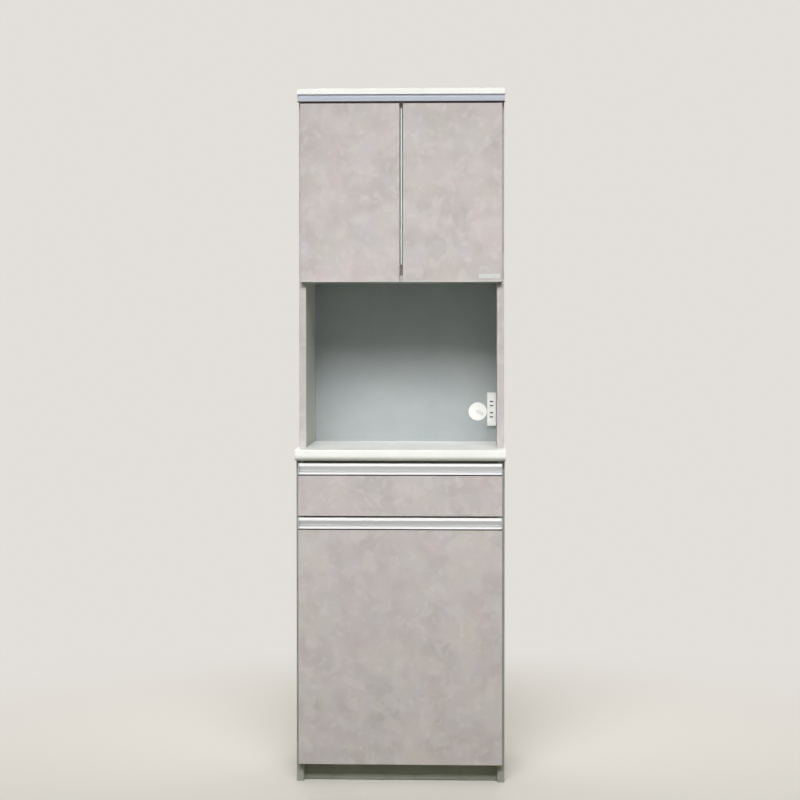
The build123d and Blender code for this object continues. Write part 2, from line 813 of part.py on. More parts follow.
def outlet():
    """Two-gang socket outlet: slotted faceplate, housing through the back panel, spring contacts."""
    face = block_y(outlet_x, outlet_z, outlet_width, outlet_height, outlet_face_y, upper_back_y)
    face = fillet(face.edges().filter_by(Axis.Y), outlet_round)
    face = fillet(face.faces().sort_by(Axis.Y)[0].edges(), outlet_face_round)
    room_y = outlet_face_y + outlet_wall
    room_width = outlet_width - 2 * outlet_wall
    room_height = outlet_height - 2 * outlet_wall
    face -= block_y(outlet_x, outlet_z, room_width, room_height, room_y, upper_back_y)
    core_width = room_width - 2 * outlet_fit
    core_height = room_height - 2 * outlet_fit
    housing = block_y(outlet_x, outlet_z, core_width, core_height, room_y, upper_back_y)
    box_end_y = upper_back_y + back_thickness + outlet_box_depth
    housing += block_y(outlet_x, outlet_z, outlet_box_width, outlet_box_height, upper_back_y, box_end_y)
    gland_z = outlet_z - outlet_box_height / 2
    gland = Pos(outlet_x, box_end_y - gland_top_radius, gland_z - gland_length / 2) * (
        Cone(gland_tip_radius, gland_top_radius, gland_length) - Cylinder(gland_bore_radius, gland_length)
    )
    housing += gland
    contacts = []
    clip_height = contact_gap + 2 * contact_leaf
    clip_end_y = room_y + contact_length
    pocket_width = slot_width + 2 * contact_pocket_gap
    pocket_height = clip_height + 2 * contact_pocket_gap
    pocket_end_y = clip_end_y + contact_pocket_gap
    for level in slot_levels:
        face -= block_y(outlet_x, level, slot_width, slot_height, outlet_face_y, room_y)
        housing -= block_y(outlet_x, level, pocket_width, pocket_height, room_y, pocket_end_y)
        clip = block_y(outlet_x, level, slot_width, clip_height, room_y, clip_end_y)
        clip -= block_y(outlet_x, level, slot_width, contact_gap, room_y, clip_end_y - contact_leaf)
        contacts.append(clip)
    return {"outlet_faceplate": face, "outlet_housing": housing, "outlet_contacts": group(contacts)}


def cord_hole():
    """Cord hole beside the outlet: liner in the back panel, cap, and the flap that closes its notch."""
    liner_inner = cord_hole_radius - cord_fit - cord_liner_wall
    liner_end_y = upper_back_y + back_thickness + cord_liner_reach
    liner = rod_y(cord_hole_radius - cord_fit, cord_seat_y, liner_end_y, cord_x, cord_z)
    liner += rod_y(cord_liner_flange_radius, cord_seat_y, upper_back_y, cord_x, cord_z)
    liner -= rod_y(liner_inner, cord_seat_y, liner_end_y, cord_x, cord_z)

    cap_face_y = cord_seat_y - cord_cap_thickness
    cap = rod_y(cord_cap_radius, cap_face_y, cord_seat_y, cord_x, cord_z)
    cap = fillet(cap.edges().filter_by(GeomType.CIRCLE).sort_by(Axis.Y)[0], cord_cap_round)
    skirt_radius = liner_inner - cord_fit
    skirt_end_y = cord_seat_y + cord_skirt_length
    skirt = rod_y(skirt_radius, cord_seat_y, skirt_end_y, cord_x, cord_z)
    skirt -= rod_y(skirt_radius - cord_skirt_wall, cord_seat_y, skirt_end_y, cord_x, cord_z)

    def notch(half_width, reach, start_y, end_y):
        """U-shaped bar from the middle of the cap towards its rim."""
        bar = Pos(reach / 2, 0) * Rectangle(reach, 2 * half_width) + Circle(half_width)
        face = Plane(origin=(cord_x, end_y, cord_z), x_dir=(1, 0, 0), z_dir=(0, -1, 0))
        return extrude(face * (Rot(0, 0, cord_notch_angle) * bar), end_y - start_y)

    notch_half = cord_notch_width / 2
    flap_reach = skirt_radius - cord_skirt_wall - cord_flap_gap
    cap -= notch(notch_half, flap_reach + cord_flap_gap, cap_face_y, cord_seat_y)
    flap_half = notch_half - cord_flap_gap
    flap = notch(flap_half, flap_reach, cap_face_y - cord_flap_rise, cord_seat_y)
    lip_half = notch_half + cord_skirt_wall
    lip_reach = sqrt(flap_reach**2 - lip_half**2)
    flap += notch(lip_half, lip_reach, cord_seat_y, cord_seat_y + cord_skirt_wall)
    return {
        "cord_hole_liner": liner,
        "cord_hole_cap": cap + skirt,
        "cord_hole_flap": flap,
    }


parts = {}
parts.update(lower_carcass())
parts.update(upper_carcass())
parts.update(crown())
parts.update(doors())
parts.update(hinges())
parts.update(outlet())
parts.update(cord_hole())

parts.update(front_set("drawer", drawer_panel_bottom, drawer_panel_top))
parts.update(front_set("deep_drawer", kick_height, deep_panel_top))

drawer_box_bottom = drawer_panel_bottom + drawer_foot_gap
drawer_box_top = rail_bottom - drawer_head_gap
parts.update(box_set("drawer", drawer_box_bottom, drawer_box_top))
parts.update(slide_set("drawer", (drawer_box_bottom + drawer_box_top) / 2))

deep_box_bottom = floor_panel_top + deep_foot_gap
parts.update(box_set("deep_drawer", deep_box_bottom, deep_box_bottom + deep_box_height))
parts.update(slide_set("deep_drawer", deep_box_bottom + deep_slide_rise))

os.makedirs("parts", exist_ok=True)
for node, shape in parts.items():
    export_step(shape, f"parts/{node}.step")
    print(node, len(shape.solids()))
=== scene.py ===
from math import radians

import bmesh
import bpy
from mathutils import Matrix, Vector


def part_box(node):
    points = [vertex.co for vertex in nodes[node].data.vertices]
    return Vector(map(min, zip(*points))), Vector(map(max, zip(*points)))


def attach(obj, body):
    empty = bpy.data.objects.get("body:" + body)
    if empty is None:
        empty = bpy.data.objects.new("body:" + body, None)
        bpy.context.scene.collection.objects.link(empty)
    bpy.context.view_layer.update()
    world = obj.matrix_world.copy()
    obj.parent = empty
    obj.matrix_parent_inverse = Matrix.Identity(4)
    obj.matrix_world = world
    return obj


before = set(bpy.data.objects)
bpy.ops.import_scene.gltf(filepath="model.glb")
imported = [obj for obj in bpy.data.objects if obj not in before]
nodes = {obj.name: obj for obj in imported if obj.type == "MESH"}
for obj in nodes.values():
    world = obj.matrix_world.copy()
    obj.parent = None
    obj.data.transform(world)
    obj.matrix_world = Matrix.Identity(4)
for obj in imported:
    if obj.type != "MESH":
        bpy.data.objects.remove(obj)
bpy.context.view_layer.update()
scene = bpy.context.scene
mm = 0.001


def linear(hexColour):  # sRGB hex to the linear values that sockets take
    parts = [int(hexColour[i:i + 2], 16) / 255 for i in (1, 3, 5)]
    return [c / 12.92 if c <= 0.04045 else ((c + 0.055) / 1.055) ** 2.4 for c in parts] + [1]


def perSize(sizeMm):  # texture scale along each axis that gives features of this size
    sizes = sizeMm if isinstance(sizeMm, tuple) else (sizeMm, sizeMm, sizeMm)
    return [1 / (size * mm) for size in sizes]


def join(tree, source, node, socket):  # a value, a node or one of its outputs goes to a socket
    if isinstance(socket, str):
        target = next(s for s in node.inputs if s.enabled and s.name == socket)
    else:
        target = node.inputs[socket]
    if isinstance(source, bpy.types.Node):
        source = next(s for s in source.outputs if s.enabled)
    if isinstance(source, bpy.types.NodeSocket):
        tree.links.new(source, target)
    else:
        target.default_value = source


def addNode(tree, kind, settings, links):
    node = tree.nodes.new("ShaderNode" + kind)
    for field, value in settings.items():
        setattr(node, field, value)
    for socket, source in links.items():
        join(tree, source, node, socket)
    return node


def startMaterial(name, sockets):
    material = bpy.data.materials.new(name)
    material.use_nodes = True
    tree = material.node_tree
    shader = tree.nodes["Principled BSDF"]
    for socket, value in sockets.items():
        shader.inputs[socket].default_value = value
    place = addNode(tree, "TexCoord", {}, {})
    return material, tree, shader, place


def pointAt(thing, place, aim):  # puts a camera or a lamp in its place and turns it
    thing.location = place
    thing.rotation_euler = (Vector(aim) - Vector(place)).to_track_quat("-Z", "Y").to_euler()


def dress(material, names):
    for name in names:
        slots = nodes[name].data.materials
        slots.clear()
        slots.append(material)


# camera at the photo's angle
view = {"eye": (0.2285, -6.245, 1.321), "aim": (0.0002, -0.245, 1.165), "lens": 95.23, "sensor": 36,
        "drop": -0.03}
camera = bpy.data.objects.new("photoCamera", bpy.data.cameras.new("photoCamera"))
scene.collection.objects.link(camera)
pointAt(camera, view["eye"], view["aim"])
camera.data.lens = view["lens"]
camera.data.sensor_width = view["sensor"]
camera.data.shift_y = view["drop"]
scene.camera = camera
scene.view_settings.view_transform = "Standard"
print("camera:", view["lens"], "mm")


# studio: a wide soft key above the camera, a low weak fill, a wide lamp behind, even ambient
studio = {
    "backdrop": "#e3dfda", "ambient": "#eff5b8", "ambientLevel": 0.106, "floorBounce": "#80806a",
    "lamps": {
        "keyLamp": {"at": (0, -4.2, 4.4), "aim": (0, -0.2, 1.12), "size": (6.2, 1.8), "watts": 61.5,
                    "spread": 50},
        "fillLamp": {"at": (-0.3, -4.6, 1.5), "aim": (0, -0.2, 1.3), "size": (4.2, 1.0), "watts": 2.3,
                     "spread": 60},
        "backLamp": {"at": (0, 4.6, 3.0), "aim": (0, 0.2, 1.0), "size": (7.0, 1.8), "watts": 110,
                     "spread": 180},
    },
    "floorSize": 60, "floorClear": 0.8, "floorFade": 2.4, "floorRoughness": 0.7,
}
for name, lamp in studio["lamps"].items():
    light = bpy.data.objects.new(name, bpy.data.lights.new(name, "AREA"))
    light.data.shape = "RECTANGLE"
    light.data.size, light.data.size_y = lamp["size"]
    light.data.energy = lamp["watts"]
    light.data.spread = radians(lamp["spread"])
    pointAt(light, lamp["at"], lamp["aim"])
    scene.collection.objects.link(light)


def seenRays(tree):  # 1 where the eye, a mirror or glass looks at the backdrop
    path = addNode(tree, "LightPath", {}, {})
    seen = addNode(tree, "Math", {"operation": "MAXIMUM"}, {
        0: path.outputs["Is Camera Ray"], 1: path.outputs["Is Glossy Ray"]})
    return addNode(tree, "Math", {"operation": "MAXIMUM"}, {
        0: seen, 1: path.outputs["Is Transmission Ray"]})


world = bpy.data.worlds.new("studioWorld")
world.use_nodes = True
scene.world = world
worldTree = world.node_tree
worldTree.nodes.clear()
ambient = addNode(worldTree, "Background", {}, {
    "Color": linear(studio["ambient"]), "Strength": studio["ambientLevel"]})
backdrop = addNode(worldTree, "Background", {}, {"Color": linear(studio["backdrop"]), "Strength": 1.0})
sky = addNode(worldTree, "MixShader", {}, {0: seenRays(worldTree), 1: ambient, 2: backdrop})
addNode(worldTree, "OutputWorld", {}, {"Surface": sky})


def makeFloor():
    # painted floor: pale to the eye, duller in its bounce, fading into the backdrop far off
    mesh = bmesh.new()
    bmesh.ops.create_grid(mesh, x_segments=1, y_segments=1, size=studio["floorSize"] / 2)
    data = bpy.data.meshes.new("studioFloor")
    mesh.to_mesh(data)
    mesh.free()
    floor = bpy.data.objects.new("studioFloor", data)
    scene.collection.objects.link(floor)
    material, tree, shader, place = startMaterial("paintedFloor", {"Roughness": studio["floorRoughness"]})
    seen = seenRays(tree)
    paint = addNode(tree, "Mix", {"data_type": "RGBA"}, {
        "Factor": seen, "A": linear(studio["floorBounce"]), "B": linear(studio["backdrop"])})
    join(tree, paint, shader, "Base Color")
    far = addNode(tree, "VectorMath", {"operation": "LENGTH"}, {0: place.outputs["Object"]})
    fade = addNode(tree, "MapRange", {"interpolation_type": "SMOOTHSTEP"}, {
        "Value": far, "From Min": studio["floorClear"], "From Max": studio["floorFade"]})
    share = addNode(tree, "Math", {"operation": "MULTIPLY"}, {0: fade, 1: seen})
    glow = addNode(tree, "Emission", {}, {"Color": linear(studio["backdrop"]), "Strength": 1.0})
    mix = addNode(tree, "MixShader", {}, {0: share, 1: shader, 2: glow})
    join(tree, mix, tree.nodes["Material Output"], "Surface")
    data.materials.append(material)


makeFloor()
print("studio: lamps", ", ".join(studio["lamps"]))


# steps that the finishes share: noise settings, the span of a cloud that roughness follows,
# and the part of a normal along Y at which a face starts to look forward or back, and fully does
skin = {"cloudRoughness": 0.55, "wearSpan": (0.3, 0.7),
        "grainDetail": 3, "grainRoughness": 0.6, "bump": 0.5}
facing = {"front": (-0.5, -0.98), "rear": (0.5, 0.98)}


def printLayers(tree, place, look):
    # each layer lays its colour over the last through a cloud of a real size:
    # colour, size in mm, detail, swirl, where the cloud starts and is full, share
    colour = linear(look["base"])
    for shade, sizeMm, detail, swirl, start, full, most in look["layers"]:
        stretch = addNode(tree, "Mapping", {}, {
            "Vector": place.outputs["Object"], "Scale": perSize(sizeMm)})
        cloud = addNode(tree, "TexNoise", {}, {
            "Vector": stretch, "Scale": 1.0, "Detail": detail, "Roughness": skin["cloudRoughness"],
            "Distortion": swirl})
        share = addNode(tree, "MapRange", {}, {
            "Value": cloud, "From Min": start, "From Max": full, "To Max": most})
        colour = addNode(tree, "Mix", {"data_type": "RGBA"}, {
            "Factor": share, "A": colour, "B": linear(shade)})
    return colour, cloud


def grainSkin(tree, place, shader, look, cloud):
    # roughness follows the last cloud, and a fine grain lifts the skin
    start, full = skin["wearSpan"]
    wear = addNode(tree, "MapRange", {}, {
        "Value": cloud, "From Min": start, "From Max": full,
        "To Min": look["roughness"] - look["wear"], "To Max": look["roughness"] + look["wear"]})
    join(tree, wear, shader, "Roughness")
    stretch = addNode(tree, "Mapping", {}, {
        "Vector": place.outputs["Object"], "Scale": perSize(look["grainMm"])})
    grain = addNode(tree, "TexNoise", {}, {
        "Vector": stretch, "Scale": 1.0,
        "Detail": skin["grainDetail"], "Roughness": skin["grainRoughness"]})
    bump = addNode(tree, "Bump", {}, {
        "Strength": skin["bump"], "Distance": look["depthMm"] * mm, "Height": grain})
    join(tree, bump, shader, "Normal")
    return wear


def past(tree, vector, axis, start, full):  # 0 to 1 as one part of a vector goes from start to full
    part = addNode(tree, "SeparateXYZ", {}, {0: vector}).outputs[axis]
    return addNode(tree, "MapRange", {}, {"Value": part, "From Min": start, "From Max": full})


def laidOver(tree, share, under, over):  # one finish over another where the two shares meet
    both = addNode(tree, "Math", {"operation": "MULTIPLY"}, {0: share[0], 1: share[1]})
    return addNode(tree, "Mix", {"data_type": "RGBA"}, {"Factor": both, "A": under, "B": over})


def makePlain(finishes):  # finishes that are the same on every face of their pieces
    for name, look in finishes.items():
        material, tree, shader, place = startMaterial(name, look["sockets"])
        colour, cloud = printLayers(tree, place, look)
        join(tree, colour, shader, "Base Color")
        grainSkin(tree, place, shader, look, cloud)
        dress(material, look["nodes"])


# stone-look melamine film on board: matte grey clouds with softly edged paler and darker patches,
# small pale flecks and faint rosy, bluish and straw drifts, a pale line where the film turns over
# side and lower edges, a pale lipping along the doors' foot, and plain grey film on the back
stoneFilm = {
    "sockets": {"IOR": 1.5, "Specular IOR Level": 0.35},
    "base": "#b7b0b0",
    "layers": [
        ("#c2bbbc", 85, 1, 0.4, 0.36, 0.64, 1.0),
        ("#a9a2a1", 55, 1, 0.6, 0.54, 0.70, 0.38),
        ("#c8b8ba", 105, 1, 0.3, 0.48, 0.66, 0.4),
        ("#bebcc3", 75, 1, 0.3, 0.48, 0.66, 0.4),
        ("#c1bcb4", 90, 1, 0.3, 0.48, 0.66, 0.4),
        ("#cac4c3", 36, 1, 0.4, 0.52, 0.66, 0.5),
        ("#d5cfce", 26, 1, 0.4, 0.60, 0.76, 0.35),
    ],
    "edge": "#d7d5d1", "edgeTurn": (0.98, 0.5), "edgeBelow": (0.5, 0.2),
    "lipping": "#d5d2d0", "lippingMm": 2.2, "lippingFadeMm": 1,
    "roughness": 0.57, "wear": 0.06, "grainMm": 2.5, "depthMm": 0.02,
    "nodes": ["left_door_panel", "right_door_panel", "drawer_front", "deep_drawer_front"],
}


def makeStoneFilm():
    material, tree, shader, place = startMaterial("stoneFilm", stoneFilm["sockets"])
    colour, cloud = printLayers(tree, place, stoneFilm)
    normal = place.outputs["Normal"]
    flat = addNode(tree, "VectorMath", {"operation": "ABSOLUTE"}, {0: normal})
    turned = (past(tree, flat, "Y", *stoneFilm["edgeTurn"]),
              past(tree, normal, "Z", *stoneFilm["edgeBelow"]))
    faced = laidOver(tree, turned, colour, linear(stoneFilm["edge"]))
    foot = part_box("left_door_panel")[0].z
    head = foot + stoneFilm["lippingMm"] * mm
    fade = stoneFilm["lippingFadeMm"] * mm
    low = (past(tree, place.outputs["Object"], "Z", head + fade, head),
           past(tree, place.outputs["Object"], "Z", foot - 2 * fade, foot - fade))
    lipped = laidOver(tree, low, faced, linear(stoneFilm["lipping"]))
    grey = printLayers(tree, place, greyFilm)[0]
    backed = (past(tree, normal, "Y", *facing["rear"]), 1)
    join(tree, laidOver(tree, backed, lipped, grey), shader, "Base Color")
    grainSkin(tree, place, shader, stoneFilm, cloud)
    dress(material, stoneFilm["nodes"])


# grey melamine film: smooth and satin, with a faint cloud in the paper and a warmer band on front edges
greyFilm = {
    "sockets": {"IOR": 1.5, "Specular IOR Level": 0.3},
    "base": "#9da3a5", "layers": [("#a6abac", 160, 4, 0, 0.35, 0.65, 1.0)],
    "edge": "#c0bab3", "roughness": 0.42, "wear": 0.03, "grainMm": 1.5, "depthMm": 0.02,
    "nodes": ["lower_bottom_panel", "upper_top_panel", "wall_fixing_rail", "top_board_rails",
              "shelf_lower", "shelf_upper"],
}

# pale film on the niche's ceiling and the inner faces of the side boards: warmer and lighter, painted
# light standing in for the light that reaches the niche's ceiling and left wall
paintedLightFilm = {
    "sockets": {"IOR": 1.5, "Specular IOR Level": 0.3},
    "base": "#bbbdb6", "layers": [("#c2c4bd", 160, 4, 0, 0.35, 0.65, 1.0)],
    "edge": "#cbc7c8", "roughness": 0.42, "wear": 0.03, "grainMm": 1.5, "depthMm": 0.02,
    "nodes": ["upper_bottom_panel"],
}


def makeInnerFilms():
    for name, look in {"greyFilm": greyFilm, "paintedLightFilm": paintedLightFilm}.items():
        material, tree, shader, place = startMaterial(name, look["sockets"])
        colour, cloud = printLayers(tree, place, look)
        band = (past(tree, place.outputs["Normal"], "Y", *facing["front"]), 1)
        join(tree, laidOver(tree, band, colour, linear(look["edge"])), shader, "Base Color")
        grainSkin(tree, place, shader, look, cloud)
        dress(material, look["nodes"])


# thin back boards: grey film towards the room, bare pressed fibre with its dark specks behind
backBoard = {
    "base": "#937454", "layers": [("#b29069", 6, 6, 1.0, 0.35, 0.65, 1.0)], "bareTurn": (0.4, 0.6),
    "roughness": 0.6, "wear": 0.1, "grainMm": 1.5, "depthMm": 0.03,
    "nodes": ["upper_back_panel", "lower_back_panel"],
}


def makeBackBoard():
    material, tree, shader, place = startMaterial("backBoard", greyFilm["sockets"])
    grey = printLayers(tree, place, greyFilm)[0]
    bare, fibre = printLayers(tree, place, backBoard)
    behind = (past(tree, place.outputs["Normal"], "Y", *backBoard["bareTurn"]), 1)
    join(tree, laidOver(tree, behind, grey, bare), shader, "Base Color")
    grainSkin(tree, place, shader, backBoard, fibre)
    dress(material, backBoard["nodes"])


# single-colour films: white laminate on the counter and crown, darker film on the kickboard,
# darkest on the rails behind the fronts as painted shade in the gaps, off-white film with a linen print
# in the drawers
plainFilms = {
    "whiteLaminate": {
        "sockets": {"IOR": 1.5}, "base": "#f0f0ee", "layers": [("#f6f6f4", 120, 4, 0, 0.35, 0.65, 1.0)],
        "roughness": 0.34, "wear": 0.03, "grainMm": 1.2, "depthMm": 0.015,
        "nodes": ["counter", "top_board"]},
    "kickFilm": {
        "sockets": {"IOR": 1.5, "Specular IOR Level": 0.25},
        "base": "#90948a", "layers": [("#9c9f95", 60, 4, 0, 0.35, 0.65, 1.0)],
        "roughness": 0.6, "wear": 0.03, "grainMm": 2.5, "depthMm": 0.04, "nodes": ["kickboard"]},
    # painted shade: the rails seen through the gaps between the fronts are drawn dark
    "railShadeFilm": {
        "sockets": {"IOR": 1.5, "Specular IOR Level": 0.25},
        "base": "#636461", "layers": [("#6d6e6b", 60, 4, 0, 0.35, 0.65, 1.0)],
        "roughness": 0.6, "wear": 0.03, "grainMm": 2.5, "depthMm": 0.02,
        "nodes": ["counter_rails", "mid_rail"]},
    "drawerFilm": {
        "sockets": {"IOR": 1.5}, "base": "#e2e1db", "layers": [("#ebeae6", 4, 4, 0, 0.35, 0.65, 1.0)],
        "roughness": 0.5, "wear": 0.03, "grainMm": 1.0, "depthMm": 0.03,
        "nodes": ["drawer_box_walls", "drawer_bottom", "deep_drawer_box_walls", "deep_drawer_bottom"]},
}

# side boards: stone film outside and round the niche, a paler film towards the inside as painted light,
# the kickboard's darker film on the front edges behind the drawers as painted shade;
# a face looks inwards where its x times its normal's x is below zero
sideFilm = {
    "insideSpan": (-0.1, -0.2), "frontFadeMm": 1,
    "nodes": ["lower_side_left", "lower_side_right", "upper_side_left", "upper_side_right"],
}


def makeSideFilm():
    material, tree, shader, place = startMaterial("sideFilm", stoneFilm["sockets"])
    stone, cloud = printLayers(tree, place, stoneFilm)
    paintedLight = printLayers(tree, place, paintedLightFilm)[0]
    shadedEdge = printLayers(tree, place, plainFilms["kickFilm"])[0]
    inward = addNode(tree, "VectorMath", {"operation": "MULTIPLY"}, {
        0: place.outputs["Object"], 1: place.outputs["Normal"]})
    # painted light: the paler film on the faces that look inwards
    inside = (past(tree, inward, "X", *sideFilm["insideSpan"]), 1)
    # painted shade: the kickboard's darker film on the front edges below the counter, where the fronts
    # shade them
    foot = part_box("counter")[0].z
    front = (past(tree, place.outputs["Normal"], "Y", *facing["front"]),
             past(tree, place.outputs["Object"], "Z", foot + sideFilm["frontFadeMm"] * mm, foot))
    boards = laidOver(tree, front, laidOver(tree, inside, stone, paintedLight), shadedEdge)
    join(tree, boards, shader, "Base Color")
    grainSkin(tree, place, shader, stoneFilm, cloud)
    dress(material, sideFilm["nodes"])


makeStoneFilm()
makeInnerFilms()
makeBackBoard()
makePlain(plainFilms)
makeSideFilm()
print("boards dressed")


# grip rails, anodised extrusion brushed along its length: pale and matt on lip and ledge, smoother
# satin on the recess wall, whose darker grey is painted shade; the brushing is drawn coarser than it is,
# to show
gripRail = {
    "sockets": {"Metallic": 1.0},
    "base": "#e5e5e6", "layers": [("#eeeeef", (2400, 0.6, 0.6), 1, 0, 0.3, 0.7, 1.0)],
    # recess: the darker grey on the recess wall is painted shade
    "recess": "#bfc1c3", "recessMm": 8, "recessFadeMm": 2, "recessTurn": (-0.1, -0.4),
    "recessRoughness": 0.28, "uprightTurn": (-0.85, -0.98), "roughness": 0.88, "wear": 0.02,
    "grainMm": (2400, 0.6, 0.6), "depthMm": 0.0008, "nodes": ["drawer_handle", "deep_drawer_handle"],
}


def makeGripRails():
    material, tree, shader, place = startMaterial("anodisedAluminium", gripRail["sockets"])
    colour, streak = printLayers(tree, place, gripRail)
    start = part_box("drawer_handle")[0].y + gripRail["recessMm"] * mm
    full = start + gripRail["recessFadeMm"] * mm
    shadedWall = (past(tree, place.outputs["Object"], "Y", start, full),
            past(tree, place.outputs["Normal"], "Y", *gripRail["recessTurn"]))
    # painted shade: the recess wall gets the darker grey
    join(tree, laidOver(tree, shadedWall, colour, linear(gripRail["recess"])), shader, "Base Color")
    brushed = grainSkin(tree, place, shader, gripRail, streak)
    upright = past(tree, place.outputs["Normal"], "Y", *gripRail["uprightTurn"])
    recess = addNode(tree, "Math", {"operation": "MULTIPLY"}, {0: shadedWall[0], 1: upright})
    satin = addNode(tree, "Mix", {"data_type": "FLOAT"}, {
        "Factor": recess, "A": brushed, "B": gripRail["recessRoughness"]})
    join(tree, satin, shader, "Roughness")
    dress(material, gripRail["nodes"])


# other metals: streaks run along the part as rolling, drawing or plating leaves them,
# drawn coarser than they are, to show
metals = {
    # anodised extrusion with a cool, dull dye
    "dyedAluminium": {
        "sockets": {"Metallic": 1.0}, "base": "#868a92",
        "layers": [("#90949c", (220, 0.6, 0.6), 4, 0, 0.3, 0.7, 1.0)],
        "roughness": 0.42, "wear": 0.05, "grainMm": (220, 0.6, 0.6), "depthMm": 0.003,
        "nodes": ["crown_fascia"]},
    # nickel plate on pressed steel: bright, slightly warm
    "nickelPlate": {
        "sockets": {"Metallic": 1.0}, "base": "#bdb9b2", "layers": [("#d0ccc5", 6, 4, 0, 0.3, 0.7, 1.0)],
        "roughness": 0.24, "wear": 0.05, "grainMm": 6, "depthMm": 0.003,
        "nodes": ["left_hinge_cups", "right_hinge_cups", "left_hinge_pins", "right_hinge_pins",
                  "hinge_arms", "hinge_plates", "hinge_plate_screws", "left_strike_plate",
                  "right_strike_plate", "shelf_pins", "counter_screws"]},
    # zinc plate on rolled strip: bluish and cloudy
    "zincPlate": {
        "sockets": {"Metallic": 1.0}, "base": "#a9aeb3",
        "layers": [("#bfc4c8", (3, 90, 3), 4, 0, 0.3, 0.7, 1.0)],
        "roughness": 0.36, "wear": 0.05, "grainMm": (3, 90, 3), "depthMm": 0.003,
        "nodes": ["drawer_slide_outers", "drawer_slide_middles", "drawer_slide_inners",
                  "deep_drawer_slide_outers", "deep_drawer_slide_middles", "deep_drawer_slide_inners"]},
    # phosphor bronze, drawn brown and dark as painted shade in its slot
    "shadedBronze": {
        "sockets": {"Metallic": 1.0}, "base": "#43372a",
        "layers": [("#524434", (8, 8, 2), 4, 0, 0.3, 0.7, 1.0)],
        "roughness": 0.45, "wear": 0.05, "grainMm": (8, 8, 2), "depthMm": 0.003,
        "nodes": ["outlet_contacts"]},
}

# moulded plastics: even colour with a slight flow cloud and a spark-eroded skin, drawn coarser to show
plastics = {
    # nylon end caps: cool grey, close to the metal beside them
    "greyNylon": {
        "sockets": {"IOR": 1.5}, "base": "#bec1c3", "layers": [("#c7cacc", 18, 3, 0, 0.35, 0.65, 1.0)],
        "roughness": 0.45, "wear": 0.03, "grainMm": 0.8, "depthMm": 0.02,
        "nodes": ["crown_fascia_caps", "drawer_handle_caps", "deep_drawer_handle_caps"]},
    # painted styrene plate: pale and semi-matt
    "palePlate": {
        "sockets": {"IOR": 1.5}, "base": "#c7c8c8", "layers": [("#cecfcf", 18, 3, 0, 0.35, 0.65, 1.0)],
        "roughness": 0.45, "wear": 0.03, "grainMm": 0.8, "depthMm": 0.02, "nodes": []},
    # acetal catch: dull brownish grey, slightly waxy
    "brownAcetal": {
        "sockets": {"IOR": 1.5}, "base": "#797271", "layers": [("#837b7a", 18, 3, 0, 0.35, 0.65, 1.0)],
        "roughness": 0.5, "wear": 0.03, "grainMm": 0.8, "depthMm": 0.02, "nodes": ["door_catch"]},
    # clear rubber buffers: milky at this thickness
    "clearRubber": {
        "sockets": {"IOR": 1.5}, "base": "#cdcfce", "layers": [("#dbdddc", 18, 3, 0, 0.35, 0.65, 1.0)],
        "roughness": 0.4, "wear": 0.03, "grainMm": 1.5, "depthMm": 0.02, "nodes": ["door_bumpers"]},
    # black rubber seals, dark pieces standing in for the seam's shadow as painted shade: no shine, so the
    # seam reads as a shadow line
    "shadowRubber": {
        "sockets": {"IOR": 1.5, "Specular IOR Level": 0.2},
        "base": "#1f201f", "layers": [("#272827", 18, 3, 0, 0.35, 0.65, 1.0)],
        "roughness": 0.8, "wear": 0.05, "grainMm": 1.5, "depthMm": 0.02, "nodes": []},
    # urea resin faceplate: hard, white and glossy
    "whiteUrea": {
        "sockets": {"IOR": 1.5}, "base": "#f1f1ee", "layers": [("#f7f7f4", 60, 2, 0, 0.3, 0.7, 1.0)],
        "roughness": 0.28, "wear": 0.03, "grainMm": 0.8, "depthMm": 0.008,
        "nodes": ["outlet_faceplate"]},
    # phenolic resin behind the slots: dark in itself, and drawn almost black as painted shade in the
    # slots
    "shadedPhenolic": {
        "sockets": {"IOR": 1.5, "Specular IOR Level": 0.25},
        "base": "#1f1b19", "layers": [("#292420", 12, 3, 0, 0.35, 0.65, 1.0)],
        "roughness": 0.5, "wear": 0.04, "grainMm": 0.8, "depthMm": 0.02, "nodes": ["outlet_housing"]},
    # ABS cap and liner: white with a soft gloss
    "whiteAbs": {
        "sockets": {"IOR": 1.5}, "base": "#f0f0ee", "layers": [("#f5f5f3", 60, 2, 0, 0.3, 0.7, 1.0)],
        "roughness": 0.3, "wear": 0.03, "grainMm": 0.8, "depthMm": 0.008,
        "nodes": ["cord_hole_liner", "cord_hole_cap"]},
    # elastomer flap: duller than the cap round it, and greyer as painted shade in the notch
    "shadedElastomer": {
        "sockets": {"IOR": 1.5}, "base": "#dbdcda", "layers": [("#e1e2e0", 18, 2, 0, 0.3, 0.7, 1.0)],
        "roughness": 0.55, "wear": 0.04, "grainMm": 0.8, "depthMm": 0.01, "nodes": ["cord_hole_flap"]},
}

# beech, turned: pale tan with short darker rays along the dowel
woods = {
    "turnedBeech": {
        "sockets": {"IOR": 1.5}, "base": "#cea372",
        "layers": [("#e6c394", (1.2, 1.2, 12), 3, 0, 0.35, 0.65, 1.0)],
        "roughness": 0.6, "wear": 0.05, "grainMm": (0.8, 0.8, 8), "depthMm": 0.02,
        "nodes": ["unit_dowels"]},
}

# co-extruded soft PVC strip: pale bead on a grey carrier; the carrier's grey is painted shade in the gap
# between the doors
dustStrip = {
    "sockets": {"IOR": 1.5},
    "base": "#eaeded", "layers": [("#f3f6f6", 30, 3, 0, 0.35, 0.65, 1.0)],
    "gapShade": "#878a88", "gapShadeMm": (-0.4, -0.1),  # from the door's inner face
    "roughness": 0.4, "wear": 0.03, "grainMm": 1.5, "depthMm": 0.01, "nodes": ["left_door_dust_strip"],
}


